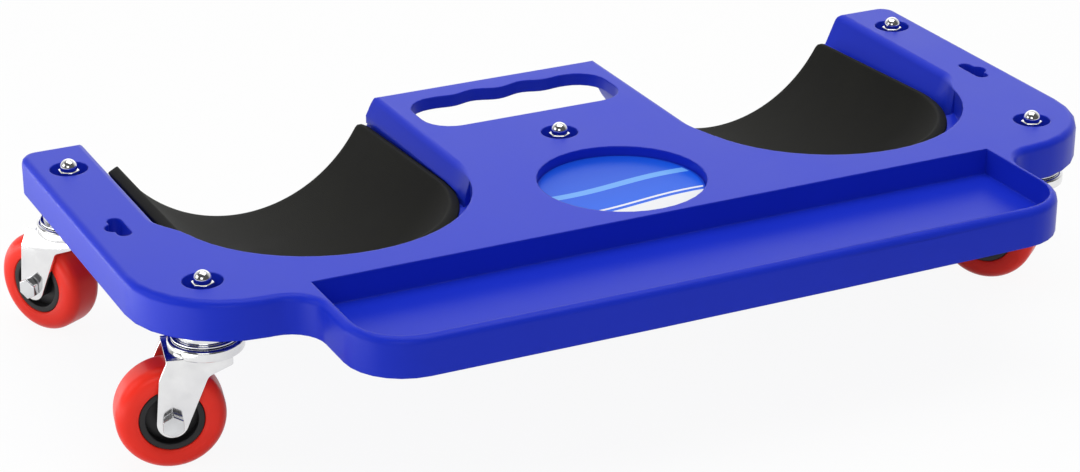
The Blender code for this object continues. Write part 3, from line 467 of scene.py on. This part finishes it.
def ringTree():
    tree = bpy.data.node_groups.new("turnedRing", "GeometryNodeTree")
    ids = {}
    for label, kind, value in (("Inner Radius", "NodeSocketFloat", 0.01), ("Outer Radius", "NodeSocketFloat", 0.02),
                               ("Width", "NodeSocketFloat", 0.01), ("Edge Radius", "NodeSocketFloat", 0.001),
                               ("Edge Steps", "NodeSocketInt", 5), ("Round Steps", "NodeSocketInt", 96),
                               ("Material", "NodeSocketMaterial", None)):
        socket = tree.interface.new_socket(label, in_out="INPUT", socket_type=kind)
        if value is not None:
            socket.default_value = value
        ids[label] = socket.identifier
    tree.interface.new_socket("Geometry", in_out="OUTPUT", socket_type="NodeSocketGeometry")
    source = tree.nodes.new("NodeGroupInput")
    sink = tree.nodes.new("NodeGroupOutput")
    out = source.outputs
    total = addNode(tree, "ShaderNodeMath", {0: out["Inner Radius"], 1: out["Outer Radius"]}, operation="ADD")
    mean = addNode(tree, "ShaderNodeMath", {0: total.outputs[0], 1: 0.5}, operation="MULTIPLY")
    depth = addNode(tree, "ShaderNodeMath", {0: out["Outer Radius"], 1: out["Inner Radius"]}, operation="SUBTRACT")
    path = addNode(tree, "GeometryNodeCurvePrimitiveCircle", {"Resolution": out["Round Steps"],
                                                              "Radius": mean.outputs[0]})
    section = addNode(tree, "GeometryNodeCurvePrimitiveQuadrilateral", {"Width": depth.outputs[0],
                                                                        "Height": out["Width"]})
    eased = addNode(tree, "GeometryNodeFilletCurve", {
        "Curve": section.outputs[0], "Count": out["Edge Steps"], "Radius": out["Edge Radius"],
        "Limit Radius": True}, mode="POLY")
    swept = addNode(tree, "GeometryNodeCurveToMesh", {"Curve": path.outputs[0], "Profile Curve": eased.outputs[0]})
    real = addNode(tree, "GeometryNodeRealizeInstances", {"Geometry": swept.outputs[0]})
    faced = addNode(tree, "GeometryNodeSetMaterial", {"Geometry": real.outputs[0], "Material": out["Material"]})
    tree.links.new(faced.outputs[0], sink.inputs[0])
    return tree, ids


ringNodes, ringIds = ringTree()


def turnedRing(inner, outer, low, high, edge, slotName, edgeSteps=5, roundSteps=96):
    host = bpy.data.objects.new("ringHost", bpy.data.meshes.new("ringHost"))
    bpy.context.scene.collection.objects.link(host)
    maker = host.modifiers.new("ring", "NODES")
    maker.node_group = ringNodes
    for label, value in (("Inner Radius", inner), ("Outer Radius", outer), ("Width", high - low),
                         ("Edge Radius", edge), ("Edge Steps", edgeSteps), ("Round Steps", roundSteps),
                         ("Material", materials[slotName])):
        maker[ringIds[label]] = value
    depsgraph = bpy.context.evaluated_depsgraph_get()
    mesh = bpy.data.meshes.new_from_object(host.evaluated_get(depsgraph))
    bpy.data.objects.remove(host)
    form = bmesh.new()
    form.from_mesh(mesh)
    bpy.data.meshes.remove(mesh)
    bmesh.ops.translate(form, vec=(0, 0, (low + high) / 2), verts=form.verts)
    return form


seamWithin = 0.000005  # metres


def turnedProfile(profile, steps):
    # a solid of revolution from (radius, height) points that end where they start, or on the axis
    form = bmesh.new()
    points = [form.verts.new((radius, 0.0, height)) for radius, height in profile]
    edges = [form.edges.new(pair) for pair in zip(points, points[1:])]
    bmesh.ops.spin(form, geom=points + edges, cent=(0, 0, 0), axis=(0, 0, 1), angle=2 * math.pi, steps=steps,
                   use_merge=True)
    bmesh.ops.remove_doubles(form, verts=form.verts, dist=seamWithin)
    return form


def joined(forms, name):
    whole = bmesh.new()
    for form in forms:
        part = bpy.data.meshes.new("part")
        form.to_mesh(part)
        form.free()
        whole.from_mesh(part)
        bpy.data.meshes.remove(part)
    return meshFrom(whole, name)


def placedCopy(mesh, name, place):
    copy = mesh.copy()
    copy.name = name
    copy.transform(place)
    return copy


def axleFrame(corner):
    joint = joints["wheel_spin_" + corner]
    axis = Vector(joint["axis"]).normalized()
    return Matrix.Translation(joint["pos_m"]) @ axis.to_track_quat("Z", "Y").to_matrix().to_4x4()


def stemFrame(corner):
    return Matrix.Translation((*joints["caster_swivel_" + corner]["pos_m"][:2], 0.0))


# wheels

wheel = {"radius": 0.0347, "width": 0.029, "hubRadius": 0.0205, "tyreGap": 0.0002, "shoulder": 0.008,
         "shoulderSteps": 10, "lip": 0.0006, "rimWidth": 0.0042, "rimInset": 0.0005, "rimEase": 0.0009,
         "dish": 0.006, "discTuck": 0.001, "discEase": 0.0008, "bossRadius": 0.0092, "boss": 0.0157,
         "bossEase": 0.0007, "bore": 0.0063, "roundSteps": 96, "smoothBelow": 50}
halfWidth = wheel["width"] / 2


def tyreProfile():
    # flat sidewalls with an eased lip at the hub and round shoulders
    inner = wheel["hubRadius"] + wheel["tyreGap"]
    upper = [(inner, halfWidth - wheel["lip"]), (inner + wheel["lip"], halfWidth)]
    for n in range(wheel["shoulderSteps"] + 1):
        angle = math.pi / 2 * n / wheel["shoulderSteps"]
        upper.append((wheel["radius"] - wheel["shoulder"] * (1 - math.sin(angle)),
                      halfWidth - wheel["shoulder"] * (1 - math.cos(angle))))
    return upper + [(radius, -height) for radius, height in reversed(upper)] + upper[:1]


tyreMesh = joined([turnedProfile(tyreProfile(), wheel["roundSteps"])], "tyre")
hubFace = halfWidth - wheel["rimInset"]
hubMesh = joined([
    turnedRing(wheel["hubRadius"] - wheel["rimWidth"], wheel["hubRadius"], -hubFace, hubFace, wheel["rimEase"],
               "black_hub"),
    turnedRing(wheel["bossRadius"] - wheel["discTuck"], wheel["hubRadius"] - wheel["discTuck"],
               -hubFace + wheel["dish"], hubFace - wheel["dish"], wheel["discEase"], "black_hub"),
    turnedRing(wheel["bore"], wheel["bossRadius"], -wheel["boss"], wheel["boss"], wheel["bossEase"], "black_hub"),
], "hub")
for mesh in (tyreMesh, hubMesh):
    smoothed(mesh, wheel["smoothBelow"])
for corner in corners:
    place = axleFrame(corner)
    newPiece("tyre_" + corner + "_turned", placedCopy(tyreMesh, "tyre", place), "red_tyre", "wheel_" + corner,
             "tyre_" + corner)
    newPiece("hub_" + corner + "_turned", placedCopy(hubMesh, "hub", place), "black_hub", "wheel_" + corner,
             "hub_" + corner)
print("wheels turned")


# what sits on the stems, copied to all five by one tree

def copyTree():
    tree = bpy.data.node_groups.new("copiesOnStems", "GeometryNodeTree")
    ids = {}
    for label, kind in (("Stems", "NodeSocketGeometry"), ("Piece", "NodeSocketObject"),
                        ("Material", "NodeSocketMaterial")):
        ids[label] = tree.interface.new_socket(label, in_out="INPUT", socket_type=kind).identifier
    tree.interface.new_socket("Geometry", in_out="OUTPUT", socket_type="NodeSocketGeometry")
    source = tree.nodes.new("NodeGroupInput")
    sink = tree.nodes.new("NodeGroupOutput")
    piece = addNode(tree, "GeometryNodeObjectInfo", {"Object": source.outputs["Piece"]})
    copies = addNode(tree, "GeometryNodeInstanceOnPoints", {"Points": source.outputs["Stems"],
                                                            "Instance": piece.outputs["Geometry"]})
    real = addNode(tree, "GeometryNodeRealizeInstances", {"Geometry": copies.outputs[0]})
    faced = addNode(tree, "GeometryNodeSetMaterial", {"Geometry": real.outputs[0],
                                                      "Material": source.outputs["Material"]})
    tree.links.new(faced.outputs[0], sink.inputs[0])
    return tree, ids


copyNodes, copyIds = copyTree()


def onAllStems(mesh, name, slotName, kind):
    form = bmesh.new()
    for corner in corners:
        form.verts.new(stemFrame(corner).translation)
    points = bpy.data.meshes.new("stems")
    form.to_mesh(points)
    form.free()
    model = bpy.data.objects.new("model", mesh)
    host = bpy.data.objects.new("stems", points)
    for item in (model, host):
        bpy.context.scene.collection.objects.link(item)
    maker = host.modifiers.new("copies", "NODES")
    maker.node_group = copyNodes
    maker[copyIds["Piece"]] = model
    maker[copyIds["Material"]] = materials[slotName]
    depsgraph = bpy.context.evaluated_depsgraph_get()
    copies = bpy.data.meshes.new_from_object(host.evaluated_get(depsgraph))
    for item in (model, host):
        bpy.data.objects.remove(item)
    newPiece(name, smoothed(copies), slotName, "base", *[kind + "_" + corner for corner in corners])


def hexPrism(acrossFlats, low, high, chamfer):
    # a hexagon whose ends are chamfered round, as on a nut or bolt head
    form = bmesh.new()
    across = acrossFlats / math.sqrt(3)
    bmesh.ops.create_cone(form, cap_ends=True, segments=6, radius1=across, radius2=across, depth=high - low,
                          matrix=Matrix.Translation((0, 0, (low + high) / 2)))
    bmesh.ops.bevel(form, geom=form.edges[:], offset=chamfer, segments=3, profile=0.5, affect="EDGES")
    return form


nut = {"acrossFlats": 0.013, "hexHeight": 0.0068, "chamfer": 0.0006, "domeRadius": 0.0058, "domeSink": 0.003,
       "domeSteps": 16, "roundSteps": 48}


def acornNut():
    low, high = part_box("acorn_nut_centre")
    shoulder = low.z + nut["hexHeight"]
    domeCentre = high.z - nut["domeRadius"]
    dome = [(0.0, shoulder - nut["domeSink"]), (nut["domeRadius"], shoulder - nut["domeSink"])]
    for n in range(nut["domeSteps"]):
        turn = math.pi / 2 * n / nut["domeSteps"]
        dome.append((nut["domeRadius"] * math.cos(turn), domeCentre + nut["domeRadius"] * math.sin(turn)))
    dome.append((0.0, high.z))
    return joined([hexPrism(nut["acrossFlats"], low.z, shoulder, nut["chamfer"]),
                   turnedProfile(dome, nut["roundSteps"])], "nut")


onAllStems(acornNut(), "acornNuts", "chrome_nut", "acorn_nut")

washer = {"bore": 0.0044, "radius": 0.0095, "ease": 0.0004, "easeSteps": 3, "roundSteps": 64}
washerLow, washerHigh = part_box("washer_centre")
washerMesh = joined([turnedRing(washer["bore"], washer["radius"], washerLow.z, washerHigh.z, washer["ease"],
                                "zinc_washer", washer["easeSteps"], washer["roundSteps"])], "washer")
onAllStems(washerMesh, "stemWashers", "zinc_washer", "washer")

race = {"bore": 0.0044, "capRadius": 0.0195, "capLift": 0.0002, "capEase": 0.0024, "capSteps": 6,
        "rimRadius": 0.0217, "rimHeight": 0.0017, "rimEase": 0.0007, "rimSteps": 4, "raceRadius": 0.0243,
        "raceEase": 0.0022, "raceSteps": 6}
capLow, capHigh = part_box("race_cap_centre")
capMesh = joined([
    turnedRing(race["bore"], race["capRadius"], capLow.z + race["capLift"], capHigh.z, race["capEase"],
               "chrome_race_cap", race["capSteps"]),
    turnedRing(race["bore"], race["rimRadius"], capLow.z, capLow.z + race["rimHeight"], race["rimEase"],
               "chrome_race_cap", race["rimSteps"]),
], "raceCap")
onAllStems(capMesh, "raceCaps", "chrome_race_cap", "race_cap")
print("nuts, washers and race caps copied")


# forks

fork = {"trail": 0.0246, "axleHeight": 0.0347, "endRadius": 0.01, "plate": 0.0025, "legInner": 0.016,
        "webLow": 0.0754, "webTop": 0.0779, "webFront": 0.0062, "webTuck": 0.0005, "raceTop": 0.0839,
        "raceLift": 0.0003, "kneeDrop": 0.0112, "frontKnee": 0.001, "frontReach": 0.0145, "frontDrop": 0.0045,
        "backKnee": 0.0318, "backReach": 0.0268, "backRound": 0.004, "toeRound": 0.002, "frontRound": 0.006,
        "footSteps": 28, "roundSteps": 6, "ease": 0.0005, "sharpFrom": 1.2}
axleEase = {"width": 0.0007, "segments": 3, "limit": 40}


def roundedOutline(outline, steps):
    # each outline point is (x, y, radius of its corner)
    points = []
    for n, (x, y, radius) in enumerate(outline):
        here = Vector((x, y))
        if radius <= 0:
            points.append((x, y))
            continue
        back = (Vector(outline[n - 1][:2]) - here).normalized()
        ahead = (Vector(outline[(n + 1) % len(outline)][:2]) - here).normalized()
        halfAngle = math.acos(max(-1.0, min(1.0, back.dot(ahead)))) / 2
        centre = here + (back + ahead).normalized() * (radius / math.sin(halfAngle))
        first = here + back * (radius / math.tan(halfAngle)) - centre
        last = here + ahead * (radius / math.tan(halfAngle)) - centre
        start = math.atan2(first.y, first.x)
        sweep = (math.atan2(last.y, last.x) - start + math.pi) % (2 * math.pi) - math.pi
        points += [(centre.x + radius * math.cos(start + sweep * k / steps),
                    centre.y + radius * math.sin(start + sweep * k / steps)) for k in range(steps + 1)]
    return points


def plateFrom(points, low, high, ease):
    # a plate between two levels along local Y, with eased edges; points are (x, z)
    form = bmesh.new()
    ring = [form.verts.new((x, low, z)) for x, z in points]
    face = form.faces.new(ring)
    grown = bmesh.ops.extrude_face_region(form, geom=[face])["geom"]
    bmesh.ops.translate(form, vec=(0, high - low, 0), verts=[v for v in grown if isinstance(v, bmesh.types.BMVert)])
    bmesh.ops.recalc_face_normals(form, faces=form.faces)
    sharp = [edge for edge in form.edges if edge.calc_face_angle(0.0) > fork["sharpFrom"]]
    bmesh.ops.bevel(form, geom=sharp, offset=ease, segments=2, profile=0.5, affect="EDGES")
    return form


def legOutline():
    knee = fork["webLow"] - fork["kneeDrop"]
    rise = knee - fork["axleHeight"]
    start = math.pi + math.atan2(fork["trail"] - fork["endRadius"] - fork["frontKnee"], rise)
    end = 2 * math.pi + math.atan2(fork["trail"] + fork["endRadius"] - fork["backKnee"], rise)
    foot = []
    for n in range(fork["footSteps"] + 1):
        angle = start + (end - start) * n / fork["footSteps"]
        foot.append((fork["trail"] + fork["endRadius"] * math.cos(angle),
                     fork["axleHeight"] + fork["endRadius"] * math.sin(angle), 0.0))
    back = [(fork["backKnee"], knee, fork["backRound"]), (fork["backReach"], fork["webLow"], 0.0),
            (fork["backReach"], fork["webTop"], 0.0)]
    front = [(-fork["frontReach"], fork["webTop"], 0.0),
             (-fork["frontReach"], fork["webLow"] - fork["frontDrop"], fork["toeRound"]),
             (fork["frontKnee"], knee, fork["frontRound"])]
    return roundedOutline(foot + back + front, fork["roundSteps"])


def forkMesh():
    inner = fork["legInner"]
    outer = inner + fork["plate"]
    web = [(fork["webFront"], fork["webLow"]), (fork["backReach"], fork["webLow"]),
           (fork["backReach"], fork["webTop"]), (fork["webFront"], fork["webTop"])]
    return smoothed(joined([
        plateFrom(legOutline(), inner, outer, fork["ease"]),
        plateFrom(legOutline(), -outer, -inner, fork["ease"]),
        plateFrom(web, -inner - fork["webTuck"], inner + fork["webTuck"], fork["ease"]),
        turnedRing(race["bore"], race["raceRadius"], fork["webLow"] + fork["raceLift"], fork["raceTop"],
                   race["raceEase"], "chrome_fork", race["raceSteps"]),
    ], "fork"))


forkModel = forkMesh()
for corner in corners:
    stem = stemFrame(corner)
    away = Vector(joints["wheel_spin_" + corner]["pos_m"]) - stem.translation
    turn = Matrix.Rotation(math.atan2(away.y, away.x), 4, "Z")
    newPiece("fork_" + corner + "_pressed", placedCopy(forkModel, "fork", stem @ turn), "chrome_fork",
             "swivel_" + corner, "fork_" + corner)
    for kind in ("axle_bolt", "axle_nut"):
        node = kind + "_" + corner
        newPiece(node + "_eased", softEdged(node, **axleEase), "zinc_axle", "swivel_" + corner, node)
print("forks and axles made")


# label

labelSet = {"thickness": 0.0005, "ease": 0.0002, "steps": 96}
discForm = turnedProfile([(0.0, 0.0), (labelPrint["radius"] - labelSet["ease"], 0.0),
                          (labelPrint["radius"], labelSet["ease"]), (labelPrint["radius"], labelSet["thickness"]),
                          (0.0, labelSet["thickness"])], labelSet["steps"])
discMesh = meshFrom(discForm, "labelDisc")
discMesh.transform(Matrix.Translation((labelCentre.x, labelCentre.y, labelLow.z)))
newPiece("labelFilm", smoothed(discMesh), "label_print", "base", "label_disc")
print("label made")


# CAD nodes that stay take the better finishes

slotOf = {entry["node"]: entry["material_slot"] for entry in frame["record"]["subparts"]}
for name, node in nodes.items():
    node.data.materials.clear()
    node.data.materials.append(materials[slotOf[name]])


# floor, light and camera

stageSet = {"floorSize": 40.0, "worldFill": 0.34, "roomSheen": 0.1, "backdropFrom": (0.0, 0.75),
            "backdropSide": (0.44, 0.9, 0.0), "white": (1.0, 1.0, 1.0, 1.0), "floorColour": (0.9, 0.9, 0.9, 1.0),
            "floorRough": 0.9, "floorSpecular": 0.1, "floorWhite": 0.93, "floorSheen": 0.8}
lampSet = {
    "overhead": {"place": (0.1, 0.1, 2.1), "aim": (0.0, 0.0, 0.1), "size": (2.2, 1.5), "power": 28.0},
    "left": {"place": (-1.9, 0.35, 0.9), "aim": (-0.35, 0.0, 0.05), "size": (1.2, 1.0), "power": 6.0},
    "floorLeft": {"place": (-0.78, 0.28, 0.004), "aim": (-0.78, 0.28, 1.0), "size": (0.6, 1.1), "power": 5.5},
    "back": {"place": (1.0, 2.4, 1.15), "aim": (0.0, 0.0, 0.1), "size": (3.4, 1.6), "power": 9.0},
    "front": {"place": (-1.4, -2.2, 1.3), "aim": (0.0, 0.0, 0.1), "size": (1.4, 1.0), "power": 9.5},
}


def paleFloor():
    form = bmesh.new()
    bmesh.ops.create_grid(form, x_segments=1, y_segments=1, size=stageSet["floorSize"] / 2)
    floor = bpy.data.objects.new("paleFloor", meshFrom(form, "paleFloor"))
    bpy.context.scene.collection.objects.link(floor)
    material, tree, shader = startMaterial("paleFloor")[:3]
    shader.inputs["Base Color"].default_value = stageSet["floorColour"]
    shader.inputs["Roughness"].default_value = stageSet["floorRough"]
    shader.inputs["Specular IOR Level"].default_value = stageSet["floorSpecular"]
    white = addNode(tree, "ShaderNodeEmission", {"Color": stageSet["white"], "Strength": 1.0})
    rays = tree.nodes.new("ShaderNodeLightPath")
    mirrored = addNode(tree, "ShaderNodeMath", {0: rays.outputs["Is Glossy Ray"], 1: stageSet["floorSheen"]},
                       operation="MULTIPLY")
    seen = addNode(tree, "ShaderNodeMath", {0: rays.outputs["Is Camera Ray"], 1: stageSet["floorWhite"],
                                            2: mirrored.outputs[0]}, operation="MULTIPLY_ADD")
    mixed = addNode(tree, "ShaderNodeMixShader", {0: seen.outputs[0], 1: shader.outputs[0], 2: white.outputs[0]})
    tree.links.new(mixed.outputs[0], tree.nodes["Material Output"].inputs["Surface"])
    floor.data.materials.append(material)


def whiteWorld():
    world = bpy.data.worlds.new("studio")
    world.use_nodes = True
    bpy.context.scene.world = world
    tree = world.node_tree
    fill = tree.nodes["Background"]
    fill.inputs["Color"].default_value = stageSet["white"]
    fill.inputs["Strength"].default_value = stageSet["worldFill"]
    # in reflections the backdrop is white and the room behind the camera is dim
    ray = tree.nodes.new("ShaderNodeTexCoord")
    side = addNode(tree, "ShaderNodeVectorMath", {0: ray.outputs["Generated"], 1: stageSet["backdropSide"]},
                   operation="DOT_PRODUCT")
    dimmed = addNode(tree, "ShaderNodeMapRange", {
        "Value": side.outputs["Value"], "From Min": stageSet["backdropFrom"][0],
        "From Max": stageSet["backdropFrom"][1], "To Min": stageSet["roomSheen"], "To Max": 1.0})
    sheen = addNode(tree, "ShaderNodeBackground", {"Color": stageSet["white"], "Strength": dimmed.outputs[0]})
    white = addNode(tree, "ShaderNodeBackground", {"Color": stageSet["white"], "Strength": 1.0})
    rays = tree.nodes.new("ShaderNodeLightPath")
    lit = addNode(tree, "ShaderNodeMixShader", {0: rays.outputs["Is Glossy Ray"], 1: fill.outputs[0],
                                                2: sheen.outputs[0]})
    mixed = addNode(tree, "ShaderNodeMixShader", {0: rays.outputs["Is Camera Ray"], 1: lit.outputs[0],
                                                  2: white.outputs[0]})
    tree.links.new(mixed.outputs[0], tree.nodes["World Output"].inputs["Surface"])


def softLight(name, setting):
    lamp = bpy.data.lights.new(name, "AREA")
    lamp.shape = "RECTANGLE"
    lamp.size, lamp.size_y = setting["size"]
    lamp.energy = setting["power"]
    light = bpy.data.objects.new(name, lamp)
    bpy.context.scene.collection.objects.link(light)
    light.visible_camera = False
    light.location = setting["place"]
    toward = Vector(setting["aim"]) - Vector(setting["place"])
    light.rotation_euler = toward.to_track_quat("-Z", "Y").to_euler()


cameraSet = {"place": (-0.802932, -1.568958, 0.839133), "aim": (-0.035211, 0.002708, 0.073055), "lens": 94.109,
             "sensor": 36.0, "roll": -0.057, "near": 0.01}


def photoCamera():
    lens = bpy.data.cameras.new("photoCamera")
    lens.sensor_fit = "HORIZONTAL"
    lens.sensor_width = cameraSet["sensor"]
    lens.lens = cameraSet["lens"]
    lens.clip_start = cameraSet["near"]
    camera = bpy.data.objects.new("photoCamera", lens)
    bpy.context.scene.collection.objects.link(camera)
    place = Vector(cameraSet["place"])
    turn = (Vector(cameraSet["aim"]) - place).to_track_quat("-Z", "Y")
    camera.rotation_mode = "QUATERNION"
    camera.rotation_quaternion = turn @ Quaternion((0, 0, 1), math.radians(cameraSet["roll"]))
    camera.location = place
    bpy.context.scene.camera = camera


paleFloor()
whiteWorld()
for name, setting in lampSet.items():
    softLight(name, setting)
photoCamera()
bpy.context.scene.view_settings.view_transform = "Standard"
print("stage set")
